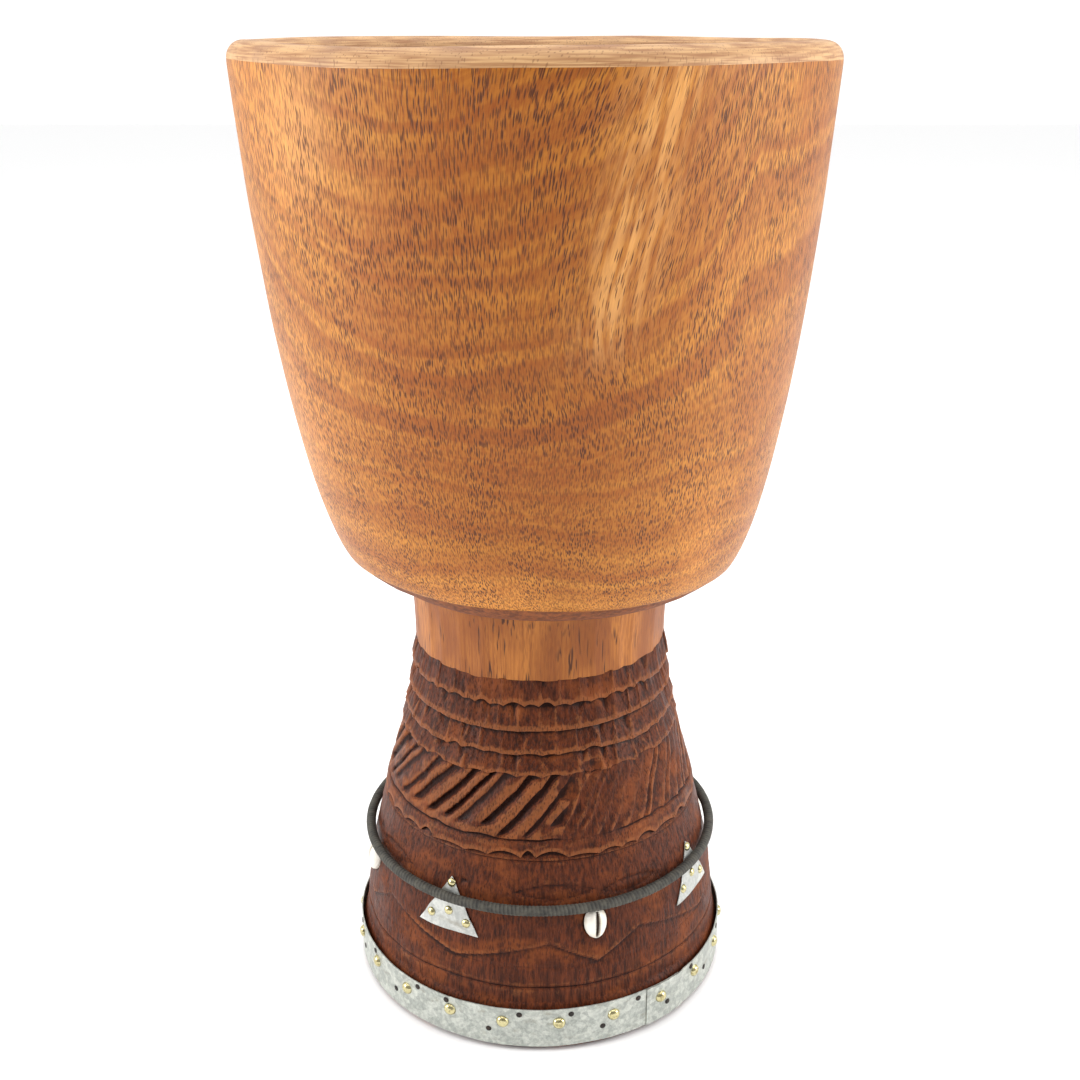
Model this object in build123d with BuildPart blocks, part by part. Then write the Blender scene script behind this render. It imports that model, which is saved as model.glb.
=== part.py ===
"""The bare shell of a djembe: one carved hardwood body with its foot band, nails, patches, cowries and ring.

The drum's axis is Z, its foot stands on z = 0 and its front faces -Y. Sizes are in millimetres, and an
angle round the drum is counted from the front towards the right hand, +X.
"""

from build123d import *
import os
from math import atan, cos, pi, radians, sin, tan

# --- Driving sizes of the wooden shell, from the floor up ---------------------------------------
foot_height = 238.0  # carved foot, up to the plain neck
neck_height = 40.0  # plain neck
under_height = 23.0  # sloping underside of the bowl
knee_out = 0.6  # share of the underside's width where it turns steeper
knee_up = 0.39  # share of its height there
bowl_height = 299.0  # bowl, from its lower edge to the rim
foot_radius = 121.5  # wood of the foot, above the band
neck_radius = 81.0
neck_flare = 1.5  # how much wider the neck is at both its ends
lip_radius = 124.0  # lower edge of the bowl
lip_round = 7.0
rim_radius = 171.5
rim_wall = 20.0
rim_round = 9.5  # outer rounding of the bearing edge
rim_band = 12.0  # upright stretch of the bowl's outside, just under the rim
rim_ease = 3.0  # inner rounding of the bearing edge
throat_radius = 56.0
throat_height = 55.0  # straight stretch of the throat
throat_drop = 8.0  # from the top of the neck down to the top of the throat
foot_wall = 27.0

# Outlines as shares of their height and of their growth in radius.
FOOT_POWER = 1.25  # how late the foot starts to draw in
BOWL_SHAPE = ((0.0, 0.0), (0.165, 0.35), (0.55, 0.745), (1.0, 1.0))
HOLLOW_SHAPE = ((0.0, 0.0), (0.067, 0.168), (0.188, 0.513), (0.515, 0.848), (1.0, 1.0))

# --- Carving of the foot ------------------------------------------------------------------------
collar_heights = (15.0, 15.0, 17.0, 16.0)  # collars, from the lowest up
collar_relief = 2.4  # how far the collars stand out
panel_height = 38.0  # fluted panel under the collars
panel_relief = 1.2
line_depth = 1.2
line_half = 1.0  # half the width of a carved line
upper_line_drop = 10.5  # from the panel's foot down to the upper carved line
lower_line_rise = 12.0  # from the band's top up to the lower carved line

# --- Sheet-metal foot band ----------------------------------------------------------------------
band_low = 3.5  # wood shows below the band
band_height = 28.0
sheet_thickness = 0.6
sheet_gap = 0.1  # between a sheet and what it lies on
seat_height = 22.0  # the wood backs the band up to here
seat_swell = 2.6  # how far that wood stands out
heel_bevel = 3.0
lap_angle = 33.0  # where the outer end of the strip shows
lap_length = 14.0  # degrees of strip on strip
joggle = 2.0  # degrees in which the strip steps out over itself
lap_end_gap = 1.0  # degrees between the inner end and the joggle

# --- Fasteners ----------------------------------------------------------------------------------
dome_radius = 3.8
dome_height = 2.5
dome_shank = 0.9
dome_length = 11.0
dome_count = 22
dome_first = 5.5  # degrees
dome_below = 10.0  # from the top of the band down to the domes
nail_radius = 1.9
nail_head = 0.5
nail_shank = 0.8
nail_length = 14.0
nail_below = 4.0  # from the top of the band down to the upper nails
nail_above = 11.0  # from the foot of the band up to the lower nails
UPPER_NAILS = (-78.0, -61.5, -39.0, -28.5, -6.0, 9.0, 30.0, 52.5, 75.0)  # half the round, in degrees
LOWER_NAILS = (-73.0, -49.0, -15.0, 18.5, 41.0, 61.5)
pierce_clearance = 0.05  # round a shank, where it goes through a sheet

# --- Tin patches and their tacks ----------------------------------------------------------------
patch_names = ("front_left", "front_right", "back_right", "back_left")
patch_first = -30.0  # degrees
patch_base = 43.0
patch_rise = 34.0
patch_thickness = 0.5
patch_drop = 23.5  # from the ring down to the lower edge of the patches
small_radius = 2.9
small_height = 1.6
small_shank = 0.7
small_length = 9.0
PATCH_TACKS = ((-0.30, 0.21), (0.0, 0.36), (0.30, 0.21), (0.0, 0.89))  # shares of base and rise

# --- Cowries ------------------------------------------------------------------------------------
cowrie_names = ("front", "right", "back", "left")
cowrie_first = 17.5  # degrees
cowrie_length = 19.0
cowrie_width = 14.6
cowrie_dome = 6.0  # how far a cowrie stands out of the wood
cowrie_roundness = 0.8  # how much of that height is rounded off
slit_width = 1.2
slit_depth = 2.2
pocket_depth = 3.2
pocket_clearance = 0.5

# --- Loose ring ---------------------------------------------------------------------------------
ring_drop = 38.5  # from the panel's foot down to the resting ring
ring_rod_radius = 2.5
wrap_thickness = 0.9
ring_clearance = 0.3  # between the ring and what it passes

# --- Sizes that follow --------------------------------------------------------------------------
neck_top = foot_height + neck_height
lip_height = neck_top + under_height
overall_height = lip_height + bowl_height
throat_top = neck_top - throat_drop
mouth_radius = foot_radius - foot_wall
knee = (
    neck_radius + neck_flare + (lip_radius - neck_radius - neck_flare) * knee_out,
    neck_top + under_height * knee_up,
)
collar_low = foot_height - sum(collar_heights)
panel_low = collar_low - panel_height
upper_line = panel_low - upper_line_drop
band_top = band_low + band_height
lower_line = band_top + lower_line_rise
band_seat = foot_radius + seat_swell
band_inner = band_seat + sheet_gap
band_outer = band_inner + sheet_thickness
lap_step = sheet_thickness + sheet_gap
ring_height = panel_low - ring_drop
ring_tube = ring_rod_radius + wrap_thickness
patch_low = ring_height - patch_drop
patch_lift = sheet_gap + patch_thickness
cowrie_middle = ring_height - ring_tube - ring_clearance - cowrie_length / 2


# --- The foot's surface -------------------------------------------------------------------------
def foot_surface(height):
    """Radius of the uncarved foot: a squared cosine that draws in from the foot to the neck."""
    share = min(max(height / foot_height, 0.0), 1.0)
    return neck_radius + (foot_radius - neck_radius) * cos(pi / 2 * share**FOOT_POWER) ** 2


def foot_lean(height, step=0.5):
    """Angle by which the foot's surface leans in at a height, in radians."""
    return atan((foot_surface(height - step) - foot_surface(height + step)) / (2 * step))


def foot_curve(low, high, relief=0.0, spans=4):
    """Points of the foot's outline between two heights, standing out by relief."""
    heights = [low + (high - low) * i / spans for i in range(spans + 1)]
    return [(foot_surface(height) + relief, height) for height in heights]


def carved_line(height, relief=0.0):
    """The three points of a V-shaped carved line across the foot's outline."""
    low, high = height - line_half, height + line_half
    return [
        (foot_surface(low) + relief, low),
        (foot_surface(height) + relief - line_depth, height),
        (foot_surface(high) + relief, high),
    ]


def shaped(shape, start, end):
    """Points from start to end, each a (radius, height), along an outline given in shares."""
    growth, rise = end[0] - start[0], end[1] - start[1]
    return [(start[0] + growth * across, start[1] + rise * up) for up, across in shape]


def on_foot(angle, height, lift=0.0, across=0.0):
    """A plane that lies on the foot: x runs to the right, y up the flank and z out of the wood.

    Across is a distance round the drum from the angle, and lift a distance out of the wood.
    """
    turn = radians(angle) + across / foot_surface(height)
    lean = foot_lean(height)
    out = Vector(sin(turn) * cos(lean), -cos(turn) * cos(lean), sin(lean))
    radius = foot_surface(height)
    foot_point = Vector(radius * sin(turn), -radius * cos(turn), height)
    return Plane(origin=foot_point + out * lift, x_dir=(cos(turn), sin(turn), 0), z_dir=out)


def on_band(angle, height):
    """A plane that stands on the outside of the band, with z pointing straight out of it."""
    lapped = lap_angle <= angle % 360 <= lap_angle + lap_length
    radius = band_outer + (lap_step if lapped else 0.0)
    out = Vector(sin(radians(angle)), -cos(radians(angle)), 0)
    return Plane(origin=out * radius + Vector(0, 0, height), x_dir=(-out.Y, out.X, 0), z_dir=out)


# --- Where the fasteners, patches and cowries go ------------------------------------------------
dome_planes = [on_band(dome_first + i * 360 / dome_count, band_top - dome_below) for i in range(dome_count)]
upper_planes = [on_band(a + half, band_top - nail_below) for half in (0, 180) for a in UPPER_NAILS]
lower_planes = [on_band(a + half, band_low + nail_above) for half in (0, 180) for a in LOWER_NAILS]


def quarter(index):
    """The turn about the drum's axis that takes the first of four pieces to another's place."""
    return Location((0, 0, 0), (0, 0, 90 * index))


def patch_tack_planes(lift):
    """Planes of the first patch's tacks, lifted off the wood."""
    return [
        on_foot(patch_first, patch_low + up * patch_rise, lift, across * patch_base)
        for across, up in PATCH_TACKS
    ]


# --- Wooden shell -------------------------------------------------------------------------------
collar_points = [(foot_surface(collar_low) + panel_relief, collar_low)]
collar_points += [(foot_surface(collar_low) + collar_relief, collar_low)]
for count in range(1, len(collar_heights)):
    collar_points += carved_line(collar_low + sum(collar_heights[:count]), collar_relief)
collar_points += [(foot_surface(foot_height) + collar_relief, foot_height)]
collar_points += [(neck_radius + neck_flare, foot_height)]

cowrie_planes = [on_foot(cowrie_first + 90 * i, cowrie_middle) for i in range(len(cowrie_names))]

with BuildPart() as drum_shell:
    with BuildSketch(Plane.XZ):
        with BuildLine():
            Polyline(
                (mouth_radius, 0),
                (band_seat - heel_bevel, 0),
                (band_seat, heel_bevel),
                (band_seat, seat_height),
                (foot_surface(band_top), band_top),
                *carved_line(lower_line),
            )
            Spline(*foot_curve(lower_line + line_half, upper_line - line_half))
            Polyline(*carved_line(upper_line))
            Spline(*foot_curve(upper_line + line_half, panel_low))
            Line((foot_surface(panel_low), panel_low), (foot_surface(panel_low) + panel_relief, panel_low))
            Spline(*foot_curve(panel_low, collar_low, panel_relief))
            Polyline(*collar_points)
            ThreePointArc(
                (neck_radius + neck_flare, foot_height),
                (neck_radius, foot_height + neck_height / 2),
                (neck_radius + neck_flare, neck_top),
            )
            Polyline((neck_radius + neck_flare, neck_top), knee, (lip_radius, lip_height))
            Spline(*shaped(BOWL_SHAPE, (lip_radius, lip_height), (rim_radius, overall_height - rim_band)))
            Polyline(
                (rim_radius, overall_height - rim_band),
                (rim_radius, overall_height),
                (rim_radius - rim_wall, overall_height),
            )
            Spline(
                *shaped(
                    HOLLOW_SHAPE,
                    (throat_radius, throat_top),
                    (rim_radius - rim_wall, overall_height),
                )
            )
            Line((throat_radius, throat_top), (throat_radius, throat_top - throat_height))
            Line((throat_radius, throat_top - throat_height), (mouth_radius, 0))
        make_face()
        fillet(vertices().group_by(Axis.Y)[-1].sort_by(Axis.X)[-1], rim_round)
        fillet(vertices().group_by(Axis.Y)[-1].sort_by(Axis.X)[0], rim_ease)
        fillet(vertices().filter_by(lambda corner: abs(corner.Y - lip_height) < 0.01), lip_round)
    revolve(axis=Axis.Z)
    with BuildSketch(*cowrie_planes):
        Ellipse(cowrie_width / 2 + pocket_clearance, cowrie_length / 2 + pocket_clearance)
    extrude(amount=pocket_depth, both=True, mode=Mode.SUBTRACT)
drum_shell.part.label = "drum_shell"

# --- Foot band: a strip bent round the foot, its outer end lapped over its inner end --------------
# Sketch angles are counted from +X, a quarter turn behind the angles round the drum.
lap_start = lap_angle - 90
lap_finish = lap_start + lap_length
strip_start = lap_finish + joggle
strip_finish = lap_finish - lap_end_gap + 360


def round_drum(radius, angle):
    """The point at a radius and a sketch angle."""
    return (radius * cos(radians(angle)), radius * sin(radians(angle)))


with BuildPart() as foot_band:
    with BuildSketch(Plane.XY.offset(band_low)):
        with BuildLine():
            for radius in (band_inner, band_outer):
                CenterArc((0, 0), radius + lap_step, lap_start, lap_length)
                Line(round_drum(radius + lap_step, lap_finish), round_drum(radius, strip_start))
                CenterArc((0, 0), radius, strip_start, strip_finish - strip_start)
            for radius, angle in ((band_inner + lap_step, lap_start), (band_inner, strip_finish)):
                Line(round_drum(radius, angle), round_drum(radius + sheet_thickness, angle))
        make_face()
    extrude(amount=band_height)
    for planes, shank in ((dome_planes, dome_shank), (upper_planes + lower_planes, nail_shank)):
        for plane in planes:
            with BuildSketch(plane):
                Circle(shank + pierce_clearance)
            extrude(amount=2 * (lap_step + sheet_thickness), both=True, mode=Mode.SUBTRACT)
foot_band.part.label = "foot_band"


# --- Nails and tacks ----------------------------------------------------------------------------
def dome_tack(radius, height, shank, length):
    """A round-headed tack: its head stands on z = 0 and its pointed shank goes down."""
    with BuildPart() as tack:
        with BuildSketch(Plane.XZ):
            with BuildLine():
                RadiusArc((0, height), (radius, 0), (radius**2 + height**2) / (2 * height))
                Polyline((radius, 0), (shank, 0), (shank, -length + 2 * shank), (0, -length), (0, height))
            make_face()
        revolve(axis=Axis.Z)
    return tack.part


def flat_nail(radius, head, shank, length):
    """A flat-headed nail: its head stands on z = 0 and its pointed shank goes down."""
    with BuildPart() as nail:
        Cylinder(radius, head, align=(Align.CENTER, Align.CENTER, Align.MIN))
        chamfer(nail.edges().group_by(Axis.Z)[-1], head * 0.4)
        with BuildSketch(Plane.XZ):
            with BuildLine():
                Polyline(
                    (0, head / 2), (shank, head / 2), (shank, -length + 2 * shank), (0, -length), close=True
                )
            make_face()
        revolve(axis=Axis.Z)
    return nail.part


band_dome = dome_tack(dome_radius, dome_height, dome_shank, dome_length)
band_nail = flat_nail(nail_radius, nail_head, nail_shank, nail_length)
small_tack = dome_tack(small_radius, small_height, small_shank, small_length)

with BuildPart() as band_dome_tacks:
    with Locations(*dome_planes):
        add(band_dome)
band_dome_tacks.part.label = "band_dome_tacks"

with BuildPart() as upper_band_nails:
    with Locations(*upper_planes):
        add(band_nail)
upper_band_nails.part.label = "upper_band_nails"

with BuildPart() as lower_band_nails:
    with Locations(*lower_planes):
        add(band_nail)
lower_band_nails.part.label = "lower_band_nails"

# --- Tin patch: a triangle of sheet, bent to the flank of the foot --------------------------------
patch_turn = 60.0  # degrees of sheet from which the triangle is cut
patch_margin = 3.0

with BuildPart() as first_patch:
    with BuildSketch(Plane.XZ.rotated((0, 0, patch_first - 90 - patch_turn / 2))):
        inside = foot_curve(patch_low - patch_margin, patch_low + patch_rise + patch_margin, sheet_gap)
        outside = foot_curve(patch_low - patch_margin, patch_low + patch_rise + patch_margin, patch_lift)
        with BuildLine():
            Spline(*inside)
            Spline(*outside)
            Line(inside[0], outside[0])
            Line(inside[-1], outside[-1])
        make_face()
    revolve(axis=Axis.Z, revolution_arc=patch_turn)
    with BuildSketch(on_foot(patch_first, patch_low)):
        with BuildLine():
            Polyline((-patch_base / 2, 0), (patch_base / 2, 0), (0, patch_rise), close=True)
        make_face()
    extrude(amount=patch_base / 2, both=True, mode=Mode.INTERSECT)
    with BuildSketch(*patch_tack_planes(patch_lift)):
        Circle(small_shank + pierce_clearance)
    extrude(amount=2 * patch_lift, both=True, mode=Mode.SUBTRACT)

with BuildPart() as first_patch_tacks:
    with Locations(*patch_tack_planes(patch_lift)):
        add(small_tack)

# --- Cowrie: a domed oval shell, flat at the back and slit along the front ------------------------
with BuildPart() as cowrie:
    with BuildSketch(Plane.XY.offset(-pocket_depth)):
        Ellipse(cowrie_width / 2, cowrie_length / 2)
    extrude(amount=pocket_depth + cowrie_dome)
    fillet(cowrie.edges().group_by(Axis.Z)[-1], cowrie_dome * cowrie_roundness)
    with BuildSketch(Plane.XY.offset(cowrie_dome - slit_depth)):
        SlotOverall(cowrie_length * 0.7, slit_width, rotation=90)
    extrude(amount=slit_depth * 2, mode=Mode.SUBTRACT)

# --- Loose ring: an iron ring wound with cloth tape, resting round the foot -----------------------
ring_radius = foot_surface(ring_height) + (patch_lift + ring_clearance + ring_tube) / cos(
    foot_lean(ring_height)
)

with BuildPart(Plane.XY.offset(ring_height)) as ring_rod:
    Torus(ring_radius, ring_rod_radius)
ring_rod.part.label = "ring_rod"

with BuildPart(Plane.XY.offset(ring_height)) as ring_wrap:
    Torus(ring_radius, ring_tube)
    Torus(ring_radius, ring_rod_radius, mode=Mode.SUBTRACT)
ring_wrap.part.label = "ring_wrap"

# --- Four of each: patches, their tacks and the cowries --------------------------------------------
patches, patch_tacks, cowries = {}, {}, {}
for index, name in enumerate(patch_names):
    with BuildPart() as patches[name]:
        with Locations(quarter(index)):
            add(first_patch.part)
    with BuildPart() as patch_tacks[name]:
        with Locations(quarter(index)):
            add(first_patch_tacks.part)
    patches[name].part.label = name + "_patch"
    patch_tacks[name].part.label = name + "_patch_tacks"

for index, name in enumerate(cowrie_names):
    with BuildPart() as cowries[name]:
        with Locations(cowrie_planes[index]):
            add(cowrie.part)
    cowries[name].part.label = name + "_cowrie"

# --- One STEP file for each piece -------------------------------------------------------------------
pieces = [drum_shell, foot_band, band_dome_tacks, upper_band_nails, lower_band_nails, ring_rod, ring_wrap]
pieces += [*patches.values(), *patch_tacks.values(), *cowries.values()]
os.makedirs("parts", exist_ok=True)
for piece in pieces:
    export_step(piece.part, "parts/" + piece.part.label + ".step")

# How far the ring rises before its wrapping meets the underside of the bowl.
under_slope = atan((lip_height - knee[1]) / (lip_radius - knee[0]))
under_there = knee[1] + (ring_radius - knee[0]) * tan(under_slope)
ring_travel = under_there - (ring_tube + ring_clearance) / cos(under_slope) - ring_height
print(f"overall height {overall_height:.1f}, ring radius {ring_radius:.2f}, ring travel {ring_travel:.1f}")
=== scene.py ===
# %% [markdown]
# # A djembe shell
# This lesson builds the look of a bare djembe: a drum body carved from one log, sanded above and
# chiselled below, with a galvanised band, brass tacks, tin patches, cowries and a loose ring.
# The CAD model is loaded first. It fixes where everything is and how big, so nothing is fitted later.

# %% Load the CAD frame
from math import cos, pi, radians, sin

import bpy
import numpy as np
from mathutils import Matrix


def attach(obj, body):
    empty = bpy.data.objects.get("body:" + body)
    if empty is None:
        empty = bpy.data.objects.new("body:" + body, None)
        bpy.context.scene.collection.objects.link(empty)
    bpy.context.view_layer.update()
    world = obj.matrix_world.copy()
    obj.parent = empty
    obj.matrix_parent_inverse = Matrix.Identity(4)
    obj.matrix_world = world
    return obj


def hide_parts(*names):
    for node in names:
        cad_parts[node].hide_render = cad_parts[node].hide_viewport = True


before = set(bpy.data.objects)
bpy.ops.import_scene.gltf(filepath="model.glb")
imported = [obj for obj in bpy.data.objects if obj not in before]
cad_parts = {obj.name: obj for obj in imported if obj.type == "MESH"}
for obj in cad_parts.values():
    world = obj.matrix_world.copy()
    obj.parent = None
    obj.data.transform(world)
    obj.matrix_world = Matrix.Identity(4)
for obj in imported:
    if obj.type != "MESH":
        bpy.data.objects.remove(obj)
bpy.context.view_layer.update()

# %% [markdown]
# ## Camera
# The drum is seen from the front and a little above, so its rim is a thin ellipse and its foot a
# wide one. A fixed lens and a pitch are enough: no shift and no depth of field.

# %% Camera
CAMERA_AWAY = 0.840  # metres from the drum's axis
CAMERA_HEIGHT = 0.612
CAMERA_PITCH = 20.5  # degrees below level
CAMERA_LENS = 46.67

camera_data = bpy.data.cameras.new("front_camera")
camera_data.lens = CAMERA_LENS
camera_data.sensor_width = 36.0
camera_data.clip_start = 0.01
camera = bpy.data.objects.new("front_camera", camera_data)
camera.location = (0.0, -CAMERA_AWAY, CAMERA_HEIGHT)
camera.rotation_euler = (radians(90 - CAMERA_PITCH), 0.0, 0.0)
bpy.context.scene.collection.objects.link(camera)
bpy.context.scene.camera = camera

# %% [markdown]
# ## Helpers: waves, noise and cuts that close on themselves
# A drum is round, so whatever varies round it has to meet itself after a full turn. Blender's
# noise textures can't promise that for a shape, so these few numpy functions do. Each works on
# whole arrays at once, and each is seeded, so the drum is the same at every run.

# %% Smooth waves and noise round the drum


def wander(angle, seed, size, slowest=1, fastest=9):
    """A smooth closed wave: cosines of whole turns, each with its own phase, smaller when faster."""
    random = np.random.default_rng(seed)
    turns = np.arange(slowest, fastest + 1)
    phases = random.uniform(0, 2 * pi, len(turns))
    sizes = random.uniform(0.5, 1.0, len(turns)) / np.sqrt(turns)
    waves = np.cos(np.radians(angle)[..., None] * turns + phases) * sizes
    return size * waves.sum(-1) / np.sqrt((sizes**2).sum())


def lattice(across, up, seed, around):
    """Smooth noise from -1 to 1: random values on whole steps, joined by a smooth step.

    Across repeats after `around` whole steps, so that the noise closes round the drum.
    """
    tall = 256
    values = np.random.default_rng(seed).uniform(-1, 1, (around, tall))
    i, j = np.floor(across).astype(int), np.floor(up).astype(int)
    s, t = across - i, up - j
    s, t = s * s * (3 - 2 * s), t * t * (3 - 2 * t)
    i0, i1, j0, j1 = i % around, (i + 1) % around, j % tall, (j + 1) % tall
    low = values[i0, j0] * (1 - s) + values[i1, j0] * s
    high = values[i0, j1] * (1 - s) + values[i1, j1] * s
    return low * (1 - t) + high * t


def cuts(angle, count, seed, unevenness=0.5):
    """Splits the turn into uneven cuts: which cut an angle is in, and where across it, from -1 to 1."""
    random = np.random.default_rng(seed)
    starts = (np.arange(count) + unevenness * random.uniform(-0.5, 0.5, count)) * 360 / count
    edges = np.concatenate([[starts[-1] - 360], starts, starts[:2] + 360])
    turn = np.mod(angle, 360)
    index = np.searchsorted(edges, turn, side="right") - 1
    across = 2 * (turn - edges[index]) / (edges[index + 1] - edges[index]) - 1
    return (index - 1) % count, across


def step(value, low, high):
    """0 below low, 1 above high and a smooth rise between them."""
    share = np.clip((value - low) / (high - low), 0, 1)
    return share * share * (3 - 2 * share)


def hump(value, middle, width):
    """A bell of height 1 round a middle value."""
    return np.exp(-(((value - middle) / width) ** 2))


def turned(angle):
    """An angle in degrees brought between -180 and 180."""
    return np.mod(np.asarray(angle) + 180, 360) - 180


# %% [markdown]
# ## Helpers: a mesh from a grid of points
# Every new piece is a grid of points, worked out as whole arrays. Its quads join neighbouring
# points, and the grid wraps round where the real surface does, so no seam stays open.

# %% Grid mesh
MM = 0.001


def grid_faces(rows, columns, wrap_rows, wrap_columns):
    """Quads of a grid: each joins a point with its neighbour to the right, above right and above."""
    row = np.arange(rows if wrap_rows else rows - 1)[:, None]
    column = np.arange(columns if wrap_columns else columns - 1)[None, :]
    next_row, next_column = (row + 1) % rows, (column + 1) % columns
    corners = [
        row * columns + column,
        row * columns + next_column,
        next_row * columns + next_column,
        next_row * columns + column,
    ]
    return np.stack([corner + 0 * (row + column) for corner in corners], -1).reshape(-1, 4)


def facing_out(points, faces):
    """The faces, turned over when the volume that they enclose comes out below zero."""
    corners = points[faces]
    volume = np.einsum("ij,ij->i", corners[:, 0], np.cross(corners[:, 1], corners[:, 2])).sum()
    volume += np.einsum("ij,ij->i", corners[:, 0], np.cross(corners[:, 2], corners[:, 3])).sum()
    return faces if volume > 0 else faces[:, ::-1]


CAP_SIZE = 0.1  # the small loop that a tube's end is drawn in to, as a share of that end


def capped_tube(rows):
    """Points and faces of a tube given as rows of loops. Each end is drawn in to a small loop and closed."""
    spread = rows.shape[1]
    first, last = [end.mean(1, keepdims=True) * (1 - CAP_SIZE) + end * CAP_SIZE for end in (rows[:1], rows[-1:])]
    rows = np.concatenate([first, rows, last])
    faces = grid_faces(len(rows), spread, False, True)
    pair = np.arange(spread // 2 - 1)[:, None]
    low = np.concatenate([pair, spread - 1 - pair, spread - 2 - pair, pair + 1], 1)
    high = low[:, ::-1] + (len(rows) - 1) * spread
    return rows.reshape(-1, 3), np.concatenate([faces, low, high])


def make_piece(name, points, faces, body, slot, replaces=(), sharp=None):
    """Makes an object from points in millimetres and faces, and puts it on its CAD body."""
    points, faces = np.asarray(points, float).reshape(-1, 3), np.asarray(faces)
    faces = facing_out(points, faces)
    mesh = bpy.data.meshes.new(name)
    mesh.from_pydata((points * MM).tolist(), [], faces.tolist())
    mesh.polygons.foreach_set("use_smooth", np.ones(len(mesh.polygons), bool))
    if sharp:
        mesh.set_sharp_from_angle(angle=radians(sharp))
    mesh.update()
    piece = bpy.data.objects.new(name, mesh)
    bpy.context.scene.collection.objects.link(piece)
    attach(piece, body)
    if replaces:
        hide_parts(*replaces)
    triangles = sum(len(face.vertices) - 2 for face in mesh.polygons)
    print(f"{name}: {len(mesh.vertices)} points, {triangles} triangles")
    return piece


def write_attribute(piece, name, values):
    """Stores one number, or one vector, for each point of the piece, for its material to read."""
    values = np.asarray(values, np.float32)
    kind, field = ("FLOAT_VECTOR", "vector") if values.shape[-1] == 3 else ("FLOAT", "value")
    attribute = piece.data.attributes.new(name, kind, "POINT")
    attribute.data.foreach_set(field, values.reshape(-1))


def round_drum(radius, angle, height):
    """Points at a radius, an angle from the front towards the right, and a height."""
    turn = np.radians(angle)
    return np.stack(np.broadcast_arrays(radius * np.sin(turn), -radius * np.cos(turn), height), -1)


# %% [markdown]
# ## The foot's own surface
# Under the carving the foot is a plain cone with a flared heel. Its radius is a squared cosine of
# the height, wide at the floor and drawn in at the neck, as it is in the CAD model.

# %% Foot surface
FOOT_HEIGHT = 238.0
FOOT_RADIUS = 121.5
NECK_RADIUS = 81.0
THROAT_RADIUS = 56.0
THROAT_LOW = 215.0
MOUTH_RADIUS = 94.5
FOOT_POWER = 1.25


def foot_surface(height):
    """Radius of the uncarved foot: a squared cosine that draws in from the foot to the neck."""
    share = np.clip(np.asarray(height) / FOOT_HEIGHT, 0, 1)
    return NECK_RADIUS + (FOOT_RADIUS - NECK_RADIUS) * np.cos(pi / 2 * share**FOOT_POWER) ** 2


def bore_surface(height):
    """Radius of the bore: straight in the throat, and a cone from there down to the foot's mouth."""
    share = np.clip((THROAT_LOW - np.asarray(height)) / THROAT_LOW, 0, 1)
    return THROAT_RADIUS + (MOUTH_RADIUS - THROAT_RADIUS) * share


def gouged_bore(angle, height, seed):
    """The bore as it is left by a long gouge: shallow flutes up and down it, and a slow unevenness."""
    flutes = lattice(angle / 360 * 46 + 0 * height, height / 60, seed, 46)
    dents = lattice(angle / 360 * 20 + 0 * height, height / 25, seed + 1, 20)
    return bore_surface(height) + 0.9 * flutes + 0.7 * dents


# %% [markdown]
# ## The carved lines
# The carver first cuts lines round the foot, by eye, so they wander and tilt a little. Every
# collar and panel hangs between two such lines. The grid's rows follow the lines, which keeps
# each cut edge crisp with few rows.

# %% Carved lines
COLUMNS = 720
around = np.arange(COLUMNS) * 360 / COLUMNS  # angle of every column, in degrees


def carved_line(level, tilt, tilt_from, seed, waver):
    """Height of a line cut by eye: a level, a tilt about an angle, and a slow waver."""
    return level + tilt * np.sin(np.radians(around - tilt_from)) + wander(around, seed, waver)


def nibbled(line, count, seed, rise, share):
    """A line whose edge is chipped: in some cuts an arch bites upwards into it."""
    which, across = cuts(around, count, seed)
    bites = np.random.default_rng(seed + 100).uniform(0, 1, count)
    bites = np.where(bites < share, 0.35 + bites, 0.0)
    return line + rise * bites[which] * (1 - across**2)


neck_line = nibbled(carved_line(238.0, 1.5, 0, 11, 0.35), 44, 12, -1.3, 0.6)
first_line = nibbled(carved_line(221.0, 1.0, 0, 21, 0.6), 50, 22, 2.3, 0.85)
second_line = carved_line(205.9, 2.0, 20, 31, 0.35)
third_line = nibbled(carved_line(189.8, 1.2, 0, 41, 0.9), 44, 42, 1.9, 0.65)
fourth_line = nibbled(carved_line(176.6, 1.4, 0, 51, 0.6), 36, 52, 2.6, 0.75)
panel_line = nibbled(carved_line(139.0, 0.5, 0, 61, 0.5), 42, 62, 1.6, 0.6)
arch_cut, arch_across = cuts(around, 38, 71, 0.7)
arch_size = np.random.default_rng(72).uniform(0.35, 1.25, 38)[arch_cut]
arch_line = carved_line(128.4, 0.4, 0, 73, 0.25) + 3.7 * arch_size * (1 - arch_across**2)
scratch_line = carved_line(126.7, 0.3, 0, 81, 0.15)
mean_heights = [round(float(line.mean()), 1) for line in (neck_line, first_line, arch_line)]
print("neck, first and arch lines, mean heights:", mean_heights)

# %% [markdown]
# ## Cutting the collars
# Each collar is a shingle: it stands out at its lower edge and sinks in under the collar above, so
# a dark line lies under every edge. A flat chisel leaves a row of slightly hollow facets across it,
# and here and there a deeper chip hangs from the line above.

# %% Collars
COLLAR_SHARES = np.array([  # where a collar's rows are, from its lower edge to its upper one
    0, 0.03, 0.08, 0.15, 0.23, 0.32, 0.41, 0.5, 0.59, 0.68, 0.77, 0.85, 0.92, 0.97, 1.0,
])
FACETS, FINE_FACETS, CHIPS = 44, 112, 30  # cuts of each kind round one collar
CHIPPED = 0.55  # share of the chips that are really cut out
CHIP_DEPTH = 2.0
EDGE_GAP = 0.12  # rise from the top row of one collar to the lower edge of the next


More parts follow.
